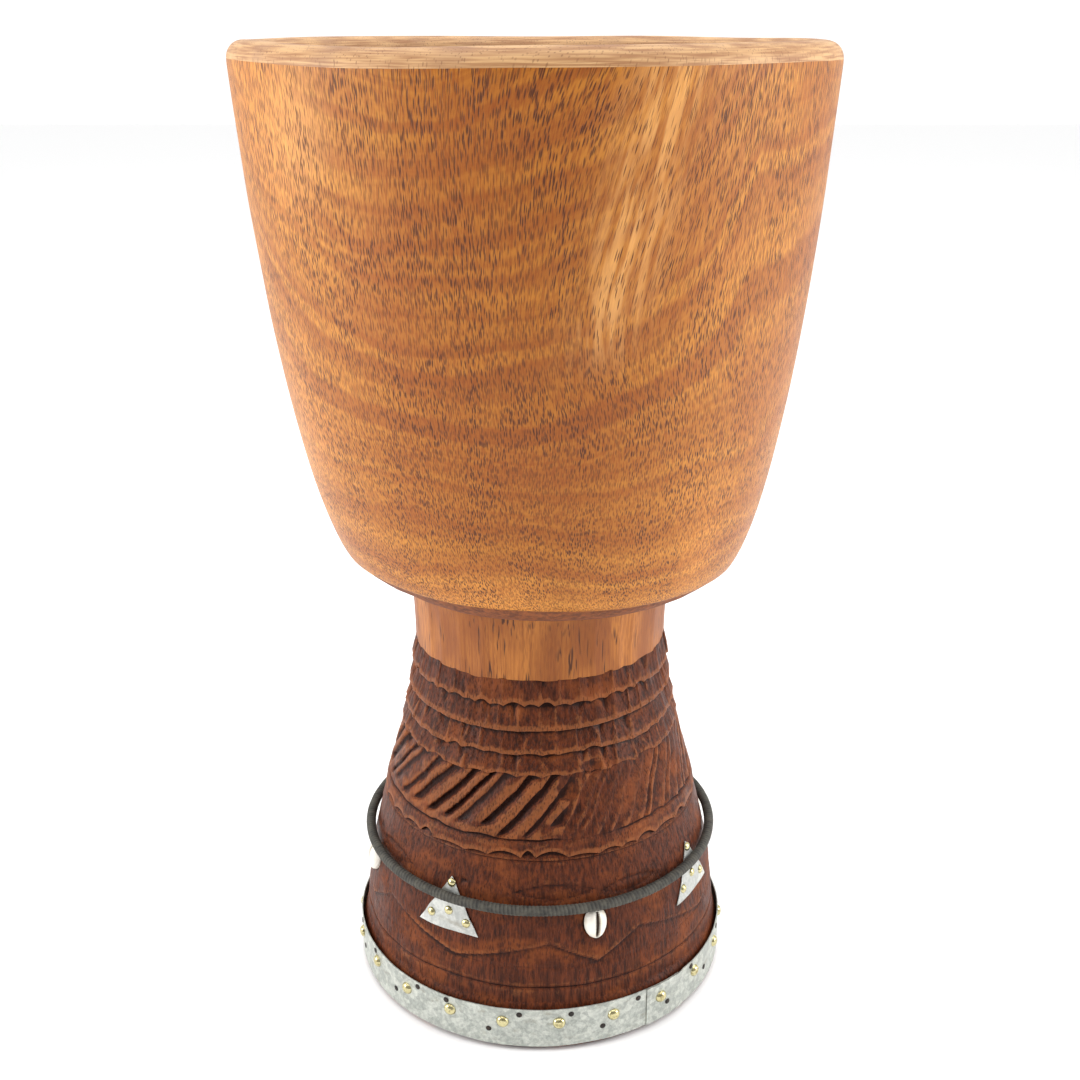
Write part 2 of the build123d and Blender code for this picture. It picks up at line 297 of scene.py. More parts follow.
def collar(low_line, high_line, seed, proud):
    """Heights and relief of one collar: rows at shares of the way up, proud at the lower edge."""
    share = COLLAR_SHARES[:, None]
    height = low_line + (high_line - low_line) * share
    rounded = 1 - 0.45 * np.exp(-share / 0.03)
    relief = 0.15 + proud * (1 - share) ** 0.9 * rounded
    random = np.random.default_rng(seed)
    which, across = cuts(around, FACETS, seed)
    depth, tip = random.uniform(0, 1.0, FACETS)[which], random.uniform(-0.55, 0.55, FACETS)[which]
    relief = relief - (0.75 * depth + 0.65 * (1 - across**2) - tip * across) * (0.55 + 0.45 * share)
    fine, fine_across = cuts(around, FINE_FACETS, seed + 1)
    relief = relief - 0.22 * (1 - fine_across**2) * random.uniform(0.2, 1.6, FINE_FACETS)[fine]
    chip, chip_across = cuts(around + 3, CHIPS, seed + 2)
    chosen = random.uniform(0, 1, CHIPS)[chip] < CHIPPED
    hanging = np.clip(1 - np.abs(chip_across) * 1.7 - (1 - share) * 1.5, 0, 1)
    relief = relief - CHIP_DEPTH * hanging**0.8 * chosen
    rough = lattice(around / 360 * 240 + 0 * height, height / 2.2, seed + 3, 240)
    return height, relief + 0.14 * rough


# %% [markdown]
# ## Cutting the slanted flutes
# A V-tool run across the grain leaves flutes that lean to the right. One wall of each is steep and
# dark, the other a long ramp that takes the light. On one side of the foot the carver cut them
# finer and steeper, and a few round scoops are left where the two meet.

# %% Flutes
FLUTE_ROWS = 34
FLUTE_LEAN = 21.0  # degrees round the drum from the foot of the panel to its top
FINE_LEAN = 13.0
COARSE_FLUTES, FINE_FLUTES = 43, 66  # as many as a whole turn would hold
COARSE_DEPTH, FINE_DEPTH = 3.1, 1.25
FINE_MIDDLE = 42.0  # degrees; the fine flutes are centred here
SCOOPS = (  # angle, height, half sizes, depth
    (10.5, 169.5, 4.6, 8.5, 2.3), (20.5, 181.0, 5.0, 4.2, 1.7), (101.0, 172.0, 5.0, 6.0, 1.8),
    (214.0, 170.0, 4.5, 8.0, 2.2), (292.0, 174.0, 5.0, 5.5, 1.6),
)


def scooped(height, relief):
    """Takes round gouge cuts out of a surface: each is a hollow cap, deepest in its middle."""
    for angle, middle, half_angle, half_height, depth in SCOOPS:
        off = (turned(around - angle) / half_angle) ** 2 + ((height - middle) / half_height) ** 2
        relief = relief - depth * np.sqrt(np.clip(1 - off, 0, 1))
    return relief


def flutes(slanted, count, seed, ramp, depth):
    """V cuts along a slanted angle: their depth, by a steep wall and then a ramp, and where each starts."""
    which, across = cuts(slanted, count, seed, 0.7)
    deep = depth * np.random.default_rng(seed + 1).uniform(0.55, 1.15, count)[which]
    start = np.random.default_rng(seed + 2).uniform(0.0, 1.0, count)[which]
    wall = step(across, -1.0, -0.8)
    return deep * wall * (1 - step(across, -0.75, ramp)), start


def fluted_panel(low_line, high_line):
    """Heights and relief of the panel between the arches and the lowest collar."""
    share = np.linspace(0, 1, FLUTE_ROWS)[:, None]
    height = low_line + (high_line - low_line) * share
    coarse, start = flutes(around - FLUTE_LEAN * share, COARSE_FLUTES, 91, 0.4, COARSE_DEPTH)
    coarse = coarse * step(share, 0.16 * start, 0.10 + 0.16 * start)
    waver = 0.4 * np.sin(3 * pi * share + np.radians(around * 4))
    fine, _ = flutes(around - FINE_LEAN * share + waver, FINE_FLUTES, 94, 0.8, FINE_DEPTH)
    worn = lattice(around / 360 * 30 + 0 * share, share * 3, 96, 30)
    fine = fine * (0.45 + 0.55 * step(worn, -0.4, 0.5))
    from_middle = turned(around - FINE_MIDDLE)
    fineness = step(from_middle, -36, -28) * (1 - step(from_middle, 30, 40))
    rough = lattice(around / 360 * 260 + 0 * share, height / 2.5, 97, 260)
    facets = lattice(around / 360 * 60 + 3 * share, share * 4, 98, 60)
    relief = 1.2 - coarse * (1 - fineness) - fine * fineness + 0.13 * rough + 0.3 * facets
    return height, relief


# %% [markdown]
# ## Assembling the carved half of the foot
# From the scratched line upwards come the scoops under the arches, the ring that the arches bite
# into, the fluted panel and the four collars. Their rows are stacked into one grid, which is
# closed over the top, down the bore and under the bottom.

# %% Carved foot
SHADE_REACH = 4  # how many points each way the neighbourhood of a point reaches
# The bore's value on that scale gives it painted shade, as dark as a point this far down in a cut.
BORE_PAINTED_SHADE = -0.3  # the bore is stained as if it were this far down in a cut


def standing_out(relief):
    """How far each point stands above the mean of its neighbourhood: edges are plus, cuts are minus."""
    span = range(-SHADE_REACH, SHADE_REACH + 1)
    mean = sum(np.roll(relief, shift, axis=1) for shift in span) / len(span)
    padded = np.pad(mean, ((SHADE_REACH, SHADE_REACH), (0, 0)), mode="edge")
    starts = [SHADE_REACH + shift for shift in span]
    mean = sum(padded[start : start + len(relief)] for start in starts) / len(span)
    return relief - mean


def closed_wall(name, heights, outside, inside_rows, shade, seed):
    """A wall of the shell as one closed grid: its outside, a top, the gouged bore and a bottom."""
    share = np.linspace(1, 0, inside_rows)[:, None]
    inside_height = heights[0] + (heights[-1] - heights[0]) * share
    inside = gouged_bore(around, inside_height, seed)
    height = np.concatenate([heights, inside_height])
    points = round_drum(np.concatenate([outside, inside]), around, height)
    faces = grid_faces(len(height), COLUMNS, True, True)
    piece = make_piece(name, points, faces, "shell", "shell_wood", ("drum_shell",), sharp=50)
    write_attribute(piece, "painted_shade_and_wear", np.concatenate([shade, np.full(inside.shape, BORE_PAINTED_SHADE)])[..., None])
    return piece


under_arch_share = np.linspace(0, 1, 6)[:, None]
under_arch_height = scratch_line + (arch_line - scratch_line) * under_arch_share
under_arch_relief = -2.2 * under_arch_share**1.2 * np.sqrt(np.clip(1 - arch_across**2, 0, 1))
ring_share = np.array([0.015, 0.06, 0.15, 0.3, 0.45, 0.6, 0.75, 0.88, 0.96, 1.0])[:, None]
ring_height_rows = arch_line + (panel_line - arch_line) * ring_share
line_depth = 0.5 + 0.5 * step(wander(around, 65, 1.0), -0.6, 0.4)
ring_relief = 1.15 - 0.35 * np.exp(-ring_share / 0.04) - 1.3 * line_depth * step(ring_share, 0.86, 1.0)
ring_relief = ring_relief + 0.25 * lattice(around / 360 * 70 + 0 * ring_share, ring_height_rows / 5, 74, 70)
panel_height, panel_relief = fluted_panel(panel_line, fourth_line)
collar_edges = (  # lower line, upper line, seed, how proud
    (fourth_line, third_line, 110, 2.6), (third_line, second_line, 120, 2.9),
    (second_line, first_line, 130, 3.0), (first_line, neck_line, 140, 3.0),
)
bands = [
    (under_arch_height, under_arch_relief),
    (ring_height_rows, ring_relief),
    (panel_height[1:], panel_relief[1:]),
    *[collar(low + EDGE_GAP, high, seed, proud) for low, high, seed, proud in collar_edges],
]
carved_height = np.concatenate([height for height, _ in bands])
carved_relief = scooped(carved_height, np.concatenate([relief for _, relief in bands]))
carved_radius = foot_surface(carved_height) + carved_relief
foot_carved = closed_wall("foot_carved", carved_height, carved_radius, 14, standing_out(carved_relief), 201)

# %% [markdown]
# ## The plain half of the foot
# Below the scratched line the foot is only trimmed with a flat chisel. Low triangles and leaf
# shapes are set in by cutting a slope down to each line, and the heel swells out under the metal
# band.

# %% Lower foot
BAND_LOW = 3.5
BAND_TOP = 31.5
HEEL_RADIUS = 124.1
QUARTER = 90.0
CHEVRON = ((-27, 59.0), (3, 73.5), (18, 58.5), (33, 74.5), (63, 59.0))  # angle in a quarter turn, height
LEAVES = ((5.0, 106.5, 13.5, 5.2), (31.0, 104.0, 11.0, 4.6), (-33.0, 108.0, 9.0, 3.6))  # and half sizes
COWRIE_ANGLE = 17.5
COWRIE_MIDDLE = 85.3
POCKET_ACROSS, POCKET_UP, POCKET_DEPTH = 8.1, 10.2, 2.4  # half sizes of the oval, and its depth
HEEL_BEVEL = 3.0
HEEL_SEAT = 22.0  # the heel is upright from its bevel to here
HEEL_TOP = BAND_TOP + 2.0


def quarter_angle(angle):
    """Angle within the repeating quarter turn, which starts at the first corner of the chevron."""
    start = CHEVRON[0][0]
    return np.mod(angle - start, QUARTER) + start


def trimmed_relief(height):
    """Relief of the lower foot: chisel facets, the chevron's slope, the leaves and two carved lines."""
    local = quarter_angle(around)
    corner_angles, corner_heights = np.array(CHEVRON).T
    below = np.interp(local, corner_angles, corner_heights) + wander(around, 150, 0.5) - height
    strength = 0.85 + 0.35 * lattice(around / 360 * 20 + 0 * height, height / 40, 149, 20)
    relief = -1.5 * strength * step(below, -0.7, 0.4) * np.exp(-np.clip(below, 0, None) / 7.5)
    for angle, middle, half_angle, half_height in LEAVES:
        across = turned(local - angle) / half_angle
        edge = half_height * (1 - across**2) - np.abs(height - middle)
        relief = relief - 1.1 * strength * step(edge, -0.5, 0.7) * np.exp(-np.clip(edge, 0, None) / 3.5)
    facets = lattice(around / 360 * 54 + 0 * height, height / 14, 151, 54)
    small = lattice(around / 360 * 150 + 0 * height, height / 7, 152, 150)
    relief = relief - 0.32 * (1 + facets) - 0.12 * (1 + small)
    relief = relief - 1.0 * hump(height, 44.0 + wander(around, 153, 0.4), 0.7)
    relief = relief - 0.35 * hump(height, 58.0 + wander(around, 154, 0.5), 0.7)
    return relief - 0.7 * hump(height, scratch_line - 0.6, 0.5)


def heel_radius(height, plain):
    """The wood under the band: a bevel at the floor, an upright seat, and a run back to the foot."""
    profile_height = [0.0, HEEL_BEVEL, HEEL_SEAT, HEEL_TOP]
    profile_radius = [HEEL_RADIUS - HEEL_BEVEL, HEEL_RADIUS, HEEL_RADIUS, float(foot_surface(HEEL_TOP))]
    return np.where(height < HEEL_TOP, np.interp(height, profile_height, profile_radius), plain)


def pocketed(height, radius):
    """Sinks a pocket for each cowrie: an oval with a flat floor and a quick edge."""
    across = turned(quarter_angle(around) - COWRIE_ANGLE) * pi / 180 * radius / POCKET_ACROSS
    off = np.sqrt(across**2 + ((height - COWRIE_MIDDLE) / POCKET_UP) ** 2)
    return radius - POCKET_DEPTH * (1 - step(off, 0.86, 1.04))


lower_levels = np.concatenate([
    [0.0, 1.0, 3.0, 12.0, 22.0, 28.0, 33.4, 34.0, 36.0, 39.0, 42.0],
    np.arange(43.0, 45.2, 0.4),
    np.arange(46.5, 125.0, 1.15),
    [125.4, 125.8],
])[:, None]
lower_height = lower_levels + 0 * around
lower_height = np.concatenate([lower_height, [scratch_line - 0.45, scratch_line - 0.15, scratch_line]])
lower_relief = trimmed_relief(lower_height)
lower_relief[-1] = 0.0
lower_radius = pocketed(lower_height, heel_radius(lower_height, foot_surface(lower_height) + lower_relief))
foot_lower = closed_wall("foot_lower", lower_height, lower_radius, 20, standing_out(lower_relief), 202)

# %% [markdown]
# ## The bowl and the neck
# The upper half is shaped by eye with an adze and then sanded. One outline, given as radius and
# height, runs up the neck, out along the raw underside, round the lip, up the bowl, over the
# rounded rim and down the hollow inside. The outline turned about the axis is the whole piece.

# %% Outline of the bowl
NECK_FOOT = 237.5
NECK_TOP = 278.0
NECK_FLARE = 1.5
LIP = (124.0, 301.0)
RIM_TOP = 600.0
RIM_OUTSIDE = 171.5
RIM_INSIDE = 151.5
RIM_ROUND = 9.5
HOLLOW_CORNERS = (  # radius and height, down from the rim to the throat
    (151.5, 590.5), (148.8, 550.0), (137.0, 440.0), (105.0, 332.0), (72.0, 292.0), (56.0, 270.0),
)
HOLLOW_ROUNDS = 12  # how many times the hollow's outline is averaged
BOWL_COLUMNS = 480
bowl_around = np.arange(BOWL_COLUMNS) * 360 / BOWL_COLUMNS


def drawn_curve(start, start_pull, end_pull, end, count):
    """A cubic Bezier curve: it leaves start towards start_pull and enters end from end_pull."""
    t = np.linspace(0, 1, count)[:, None]
    weights = ((1 - t) ** 3, 3 * (1 - t) ** 2 * t, 3 * (1 - t) * t**2, t**3)
    corners = (start, start_pull, end_pull, end)
    return sum(weight * np.array(corner) for weight, corner in zip(weights, corners))


def quarter_round(middle, radius, first, last, count):
    """Points of an arc about a middle, between two angles measured up from level outwards."""
    turn = np.radians(np.linspace(first, last, count))
    return np.stack([middle[0] + radius * np.cos(turn), middle[1] + radius * np.sin(turn)], -1)


def hollow_outline(count):
    """Outline of the hollow: straight runs between the chosen corners, rounded off by averaging."""
    corners = np.array(HOLLOW_CORNERS)
    along = np.concatenate([[0], np.cumsum(np.hypot(*np.diff(corners, axis=0).T))])
    even = np.linspace(0, along[-1], count)
    points = np.stack([np.interp(even, along, corners[:, axis]) for axis in (0, 1)], -1)
    for _ in range(HOLLOW_ROUNDS):
        points[1:-1] = (points[:-2] + 2 * points[1:-1] + points[2:]) / 4
    return points


NECK, UNDERSIDE, BOWL, RIM, INSIDE = range(5)
NECK_ROWS = 13
neck_share = np.linspace(0, 1, NECK_ROWS)
neck_outline = [NECK_RADIUS + NECK_FLARE * neck_share**2, np.linspace(NECK_FOOT, NECK_TOP, NECK_ROWS)]
runs = [
    (NECK, np.stack(neck_outline, -1)),
    (UNDERSIDE, drawn_curve((84.3, 278.9), (100.0, 284.0), (113.5, 291.0), (122.3, 300.2), 12)),
    (BOWL, drawn_curve((122.9, 300.4), LIP, LIP, (125.0, 302.8), 6)),
    (BOWL, drawn_curve((125.5, 303.7), (131.0, 313.2), (156.6, 373.8), (RIM_OUTSIDE, 588.0), 96)),
    (RIM, quarter_round((RIM_OUTSIDE - RIM_ROUND, RIM_TOP - RIM_ROUND), RIM_ROUND, 0, 90, 11)),
    (RIM, quarter_round((RIM_INSIDE + RIM_ROUND, RIM_TOP - RIM_ROUND), RIM_ROUND, 90, 175, 10)),
    (INSIDE, hollow_outline(44)),
    (INSIDE, np.linspace((THROAT_RADIUS, 262.0), (THROAT_RADIUS, NECK_FOOT), 4)),
]
outline = np.concatenate([points for _, points in runs])
part = np.concatenate([np.full(len(points), kind) for kind, points in runs])
print("bowl outline:", len(outline), "rows")

# %% [markdown]
# ## Making the bowl a real one
# Nothing cut by hand is round. The lip sits a little higher on one side, the bowl leans a few
# millimetres, the sanded wall has slow hollows, the underside keeps its adze marks and the inside
# its gouge marks. Each is added to the outline before it is turned.

# %% Bowl piece
LIP_TILT = 3.4
BOWL_LEAN = 3.0
along_outline = np.concatenate([[0], np.cumsum(np.hypot(*np.diff(outline, axis=0).T))])[:, None]
kind = part[:, None]
radius, height = outline[:, :1], outline[:, 1:]
turn_share = bowl_around / 360

slow = wander(bowl_around, 301, 0.35, 2, 7) * step(height, 240, 330)
sanded = 0.22 * lattice(turn_share * 26 + 0 * height, along_outline / 34, 302, 26)
adze = lattice(turn_share * 58 + 0 * height, along_outline / 9, 303, 58)
gouge = lattice(turn_share * 44 + 0 * height, along_outline / 26, 304, 44)
outside_wave = np.where(kind == UNDERSIDE, 0.55 * adze, slow + sanded) * (kind != INSIDE)
bowl_radius = radius + outside_wave + np.where(kind == INSIDE, 0.8 * gouge, 0.0)
neck_flats = -0.5 * (1 - cuts(bowl_around, 30, 305, 0.8)[1] ** 2)
bowl_radius = bowl_radius + neck_flats * (kind == NECK) * (1 - step(height, 268, 278))

neck_foot = np.interp(bowl_around, around, neck_line, period=360) - 0.5
lip_lift = -LIP_TILT * np.sin(np.radians(bowl_around)) + wander(bowl_around, 306, 0.5)
lifted = height + lip_lift * step(height, 268, 300) * (1 - step(height, 300, 420))
from_foot = neck_foot + (lifted - NECK_FOOT) * (NECK_TOP - neck_foot) / (NECK_TOP - NECK_FOOT)
bowl_height = np.where((kind == NECK) | (height < 262.5), from_foot, lifted)
rim_wave = wander(bowl_around, 307, 0.45, 2, 8) - 0.8 * hump(turned(bowl_around + 25), 0, 16)
bowl_height = bowl_height + rim_wave * step(height, 560, 600)

bowl_points = round_drum(bowl_radius, bowl_around, bowl_height)
bowl_points[..., 0] -= BOWL_LEAN * step(bowl_height, 290, 600)
bowl_faces = grid_faces(len(outline), BOWL_COLUMNS, True, True)
bowl = make_piece("bowl_and_neck", bowl_points, bowl_faces, "shell", "shell_wood", ("drum_shell",), sharp=40)
face_part = np.repeat(part, BOWL_COLUMNS)
bowl.data.polygons.foreach_set("material_index", face_part.astype(np.int32))

# %% [markdown]
# ## Where the grain runs
# The figure of the bowl comes from the tree. Its wall cuts the growth rings flat low down, where it
# swells fast, and almost along them higher up, so the bands lie level below and hang as deep
# U shapes above. Each point is given its place across the bands, and a place along the fibres that
# leans where the fibres lean, for the materials to read. A tone is stored too: painted shade that
# darkens the wood round the middle of the front, and a painted highlight that makes it paler at
# its upper left.

# %% Grain attributes
FIGURE_SPACING = 10.0
LEAN_MIDDLE = 17.0  # angle, in degrees, at which the fibres lean the most
LEAN_HEIGHT = 505.0  # height at which a leaning fibre stays in its place


def figure_place(angle, height):
    """Place across the bands: the height, less the angle's square times a share that grows upwards."""
    away = turned(angle + 12 + 6 * step(height, 330, 520))
    hanging = 0.030 * step(height, 330, 600) * np.minimum(np.abs(away), 60) ** 2
    flow = 9 * lattice(angle / 360 * 9, height / 60, 310, 9)
    flow = flow + 4 * lattice(angle / 360 * 22, height / 28, 311, 22)
    ripple = 2.4 * np.sin(np.radians(angle) * 6 + height / 28) * (1 - step(height, 420, 520))
    return (height - hanging + flow + ripple) / FIGURE_SPACING


def fibre_place(points, angle, height):
    """Place along the fibres in millimetres: the point itself, pushed sideways where they lean."""
    lean = 0.27 * hump(turned(angle - LEAN_MIDDLE), 0, 20) * step(height, 400, 500)
    lean = lean + 0.05 * lattice(angle / 360 * 8, height / 90, 312, 8)
    push = -lean * (height - LEAN_HEIGHT)
    turn = np.radians(angle)
    return points + np.stack([push * np.cos(turn), push * np.sin(turn), 0 * push], -1)


grid_angle = bowl_around + 0 * bowl_height
write_attribute(bowl, "figure", figure_place(grid_angle, bowl_height)[..., None])
write_attribute(bowl, "fibre", fibre_place(bowl_points, grid_angle, bowl_height))
# A painted sheen streak where the fibres lean most. The same share makes the wood glossier and its pores longer
# there.
sheen_offset = turned(grid_angle - LEAN_MIDDLE - (bowl_height - 520) * 0.08)
lean_and_painted_sheen = hump(sheen_offset, 0, 6.5) * step(bowl_height, 430, 480)
write_attribute(bowl, "lean_and_painted_sheen", lean_and_painted_sheen[..., None])
# Painted shade round the middle of the front, and a painted highlight at the upper left.
painted_front_shade = hump(turned(grid_angle + 4), 0, 36) * step(bowl_height, 300, 360)
painted_upper_left_highlight = hump(turned(grid_angle + 42), 0, 16) * hump(bowl_height, 560, 60)
write_attribute(bowl, "tone", (painted_front_shade - 0.8 * painted_upper_left_highlight)[..., None])

# %% [markdown]
# ## The galvanised band
# A strip of thin galvanised sheet is wrapped once round the heel. Its outer end lies over the
# inner one, so it steps out there. Hand shears leave its edges a little wavy, and hammering the
# nails in leaves it slightly dented.

# %% Band
BAND_INNER = 124.2
SHEET = 0.6
BAND_GAP = 0.16  # the strip stands off by this much, so that its dents never cut the wood
LAP_STEP = 0.7
LAP_START, LAP_FINISH, JOGGLE = 33.0, 47.0, 2.0
STRIP_ROWS = 15  # points up one side of the strip

strip_angle = np.concatenate([
    np.linspace(LAP_START, LAP_FINISH, 24), np.linspace(LAP_FINISH + 0.3, 49.0, 6),
    np.linspace(49.7, 406.0, 540),
])
strip_lift = LAP_STEP * (1 - step(strip_angle, LAP_FINISH, LAP_FINISH + JOGGLE))
strip_top = BAND_TOP - 0.4 + 0.7 * lattice(strip_angle / 360 * 24, 0 * strip_angle, 401, 24)
strip_low = BAND_LOW + 0.3 + 0.4 * lattice(strip_angle / 360 * 24, 0 * strip_angle, 402, 24)
up_share = np.linspace(0, 1, STRIP_ROWS)
loop_share = np.concatenate([up_share, up_share[::-1]])[None, :]
outer_side = np.repeat([1.0, 0.0], STRIP_ROWS)[None, :]
strip_height = strip_low[:, None] + (strip_top - strip_low)[:, None] * loop_share
dents = lattice(strip_angle[:, None] / 360 * 52 + 0 * strip_height, strip_height / 9, 403, 52)
strip_radius = BAND_INNER + strip_lift[:, None] + SHEET * outer_side + BAND_GAP + 0.15 * dents
strip = capped_tube(round_drum(strip_radius, strip_angle[:, None], strip_height))
band = make_piece("galvanised_band", *strip, "shell", "galvanised_strip", ("foot_band",), sharp=45)

# %% [markdown]
# ## Placing small things on the foot and the band
# A fastener is drawn once, standing on a flat plane, and then set on the drum many times. Each
# place is a point with three directions: to the right, up the wood, and straight out of it.

# %% Places on the drum


def place_on_foot(angle, height, lift=0.0, across=0.0):
    """Where something stands on the foot: the point, and its right, up and out directions."""
    surface = float(foot_surface(height))
    lean = np.arctan(float(foot_surface(height - 0.5) - foot_surface(height + 0.5)))
    turn = radians(angle) + across / surface
    out = np.array([sin(turn) * cos(lean), -cos(turn) * cos(lean), sin(lean)])
    right = np.array([cos(turn), sin(turn), 0.0])
    point = np.array([surface * sin(turn), -surface * cos(turn), height]) + out * lift
    return point, right, np.cross(out, right), out


def place_on_band(angle, height):
    """Where something stands on the band's outside, or on the lap when it is there."""
    lapped = LAP_START <= angle % 360 <= LAP_FINISH
    radius = BAND_INNER + SHEET + BAND_GAP + (LAP_STEP if lapped else 0.0)
    turn = radians(angle)
    out, right = np.array([sin(turn), -cos(turn), 0.0]), np.array([cos(turn), sin(turn), 0.0])
    return out * radius + np.array([0, 0, height]), right, np.cross(out, right), out


def button(outline_points, count):
    """A round head: its outline, as radius and height from back to crown, turned about its axis."""
    turn = np.linspace(0, 2 * pi, count, endpoint=False)
    profile = np.array(outline_points, float)
    return capped_tube(np.stack([
        profile[:, :1] * np.cos(turn), profile[:, :1] * np.sin(turn), profile[:, 1:] + 0 * turn,
    ], -1))


def set_in_places(shape, places, seed, tip=0.0):
    """Copies of a shape at many places, each turned by a random angle and tipped a little."""
    local, faces = shape
    random = np.random.default_rng(seed)
    all_points, all_faces = [], []
    for index, (point, right, up, out) in enumerate(places):
        spin, tip_x, tip_y = random.uniform(0, 2 * pi), *random.uniform(-tip, tip, 2)
        x = local[:, 0] * cos(spin) - local[:, 1] * sin(spin)
        y = local[:, 0] * sin(spin) + local[:, 1] * cos(spin)
        z = local[:, 2] + x * tip_x + y * tip_y
        all_points.append(point + x[:, None] * right + y[:, None] * up + z[:, None] * out)
        all_faces.append(faces + index * len(local))
    return np.concatenate(all_points), np.concatenate(all_faces)


def driven_heads(name, profile, sides, places, seed, tip, slot, replaced):
    """One piece of many heads: a profile turned about its axis and set in its places on the shell."""
    heads = set_in_places(button(profile, sides), places, seed, tip)
    return make_piece(name, *heads, "shell", slot, (replaced,), sharp=50)


# %% [markdown]
# ## Dome tacks and nails
# Round-headed brass tacks run in a row near the band's upper edge. Small flat nails hold the strip
# above and below them. Each was driven by hand, so none sits quite straight.

# %% Fasteners of the band
DOME_PROFILE = (
    (0.4, -1.5), (0.8, -0.3), (3.8, -0.25), (4.1, 0.0), (4.0, 0.5), (3.6, 1.3),
    (2.9, 2.0), (1.9, 2.45), (0.9, 2.66), (0.3, 2.72),
)
NAIL_PROFILE = ((0.4, -1.5), (0.8, -0.2), (1.7, -0.15), (1.9, 0.1), (1.75, 0.36), (1.2, 0.47), (0.4, 0.5))
DOMES, FIRST_DOME, DOME_HEIGHT = 22, 5.5, 21.5
UPPER_NAILS = (-78.0, -61.5, -39.0, -28.5, -6.0, 9.0, 30.0, 52.5, 75.0)
LOWER_NAILS = (-73.0, -49.0, -15.0, 18.5, 41.0, 61.5)
UPPER_HEIGHT, LOWER_HEIGHT = 27.5, 14.5
DOME_SIDES, NAIL_SIDES = 20, 14
BAND_TIP = 0.03  # largest tip of a head on the band, as a slope

dome_places = [place_on_band(FIRST_DOME + i * 360 / DOMES, DOME_HEIGHT) for i in range(DOMES)]
upper_places = [place_on_band(angle + half, UPPER_HEIGHT) for half in (0, 180) for angle in UPPER_NAILS]
lower_places = [place_on_band(angle + half, LOWER_HEIGHT) for half in (0, 180) for angle in LOWER_NAILS]
domes = driven_heads("dome_tacks", DOME_PROFILE, DOME_SIDES, dome_places, 411, BAND_TIP,
                     "brass_tack", "band_dome_tacks")
upper_nails = driven_heads("upper_nails", NAIL_PROFILE, NAIL_SIDES, upper_places, 412, BAND_TIP,
                           "iron_nail", "upper_band_nails")
lower_nails = driven_heads("lower_nails", NAIL_PROFILE, NAIL_SIDES, lower_places, 413, BAND_TIP,
                           "iron_nail", "lower_band_nails")

# %% [markdown]
# ## Tin patches and their tacks
# Four triangles cut from tin plate are bent to the foot and tacked near their corners. The sheet
# buckles a little between the tacks, and its cut edges are not quite straight.

# %% Patches
PATCH_FIRST = -30.0
PATCH_BASE, PATCH_RISE, PATCH_LOW = 43.0, 34.0, 75.0
PATCH_THICKNESS = 0.5
PATCH_ROWS, PATCH_COLUMNS = 18, 17  # points up a patch, and across one side of it
PATCH_TACKS = ((-0.30, 0.21), (0.0, 0.36), (0.30, 0.21), (0.0, 0.89))  # shares of the base and the rise
PATCH_NAMES = ("front_left", "front_right", "back_right", "back_left")
SMALL_PROFILE = (
    (0.3, -1.3), (0.6, -0.3), (2.6, -0.25), (2.9, 0.0), (2.75, 0.45), (2.2, 1.0), (1.2, 1.45), (0.3, 1.6),
)
SMALL_SIDES = 18
SMALL_LIFT = 0.75  # a small tack stands on the patch, this far out from the wood
SMALL_TIP = 0.04


def tin_patch(angle, seed):
    """A triangle of sheet: rows from its base to its tip, each a flat loop over the front and back."""
    random = np.random.default_rng(seed)
    share = np.linspace(0, 1, PATCH_ROWS)[:, None]
    front = np.linspace(-1, 1, PATCH_COLUMNS)[None, :]
    loop = np.concatenate([front, front[:, ::-1]], 1)
    outer = np.repeat([1.0, 0.0], PATCH_COLUMNS)[None, :]
    half = PATCH_BASE / 2 * (1 - share) + 0.35
    edge = 0.3 * lattice(share * 6 + 0 * loop, loop * 0 + seed % 7, seed, 8) * np.abs(loop)
    across = half * loop + edge + random.uniform(-1.0, 1.0) * share * (1 - share) * 2
    height = PATCH_LOW + PATCH_RISE * share + 0.5 * np.sin(loop * 3 + seed) * (1 - share)
    free = (1 - share) * 0.4 * (0.5 + 0.5 * lattice(loop * 2 + 3, share * 3, seed + 1, 8))
    surface = foot_surface(height)
    radius = surface + 0.1 + free + PATCH_THICKNESS * outer
    return capped_tube(round_drum(radius, angle + np.degrees(across / surface), height))


patches, patch_tacks = [], []
for index, patch_name in enumerate(PATCH_NAMES):
    angle = PATCH_FIRST + QUARTER * index
    sheet = tin_patch(angle, 421 + index)
    patches.append(make_piece(f"{patch_name}_tin", *sheet, "shell", "tin_patch", (f"{patch_name}_patch",), sharp=45))
    places = [place_on_foot(angle, PATCH_LOW + up * PATCH_RISE, SMALL_LIFT, across * PATCH_BASE)
              for across, up in PATCH_TACKS]
    patch_tacks.append(driven_heads(f"{patch_name}_tacks", SMALL_PROFILE, SMALL_SIDES, places, 431 + index,
                                    SMALL_TIP, "brass_tack", f"{patch_name}_patch_tacks"))

# %% [markdown]
# ## Cowries
# A cowrie is an egg-shaped shell, broader at one end, with a long slit whose lips are toothed. It
# lies in a shallow pocket with the slit outwards, and the lips roll down into the slit.

# %% Cowries
COWRIE_LENGTH, COWRIE_WIDTH, COWRIE_DOME = 19.0, 14.6, 6.0
COWRIE_NAMES = ("front", "right", "back", "left")
COWRIE_TILTS = (-3.0, 4.0, -2.0, 3.0)  # degrees, since none was set quite upright


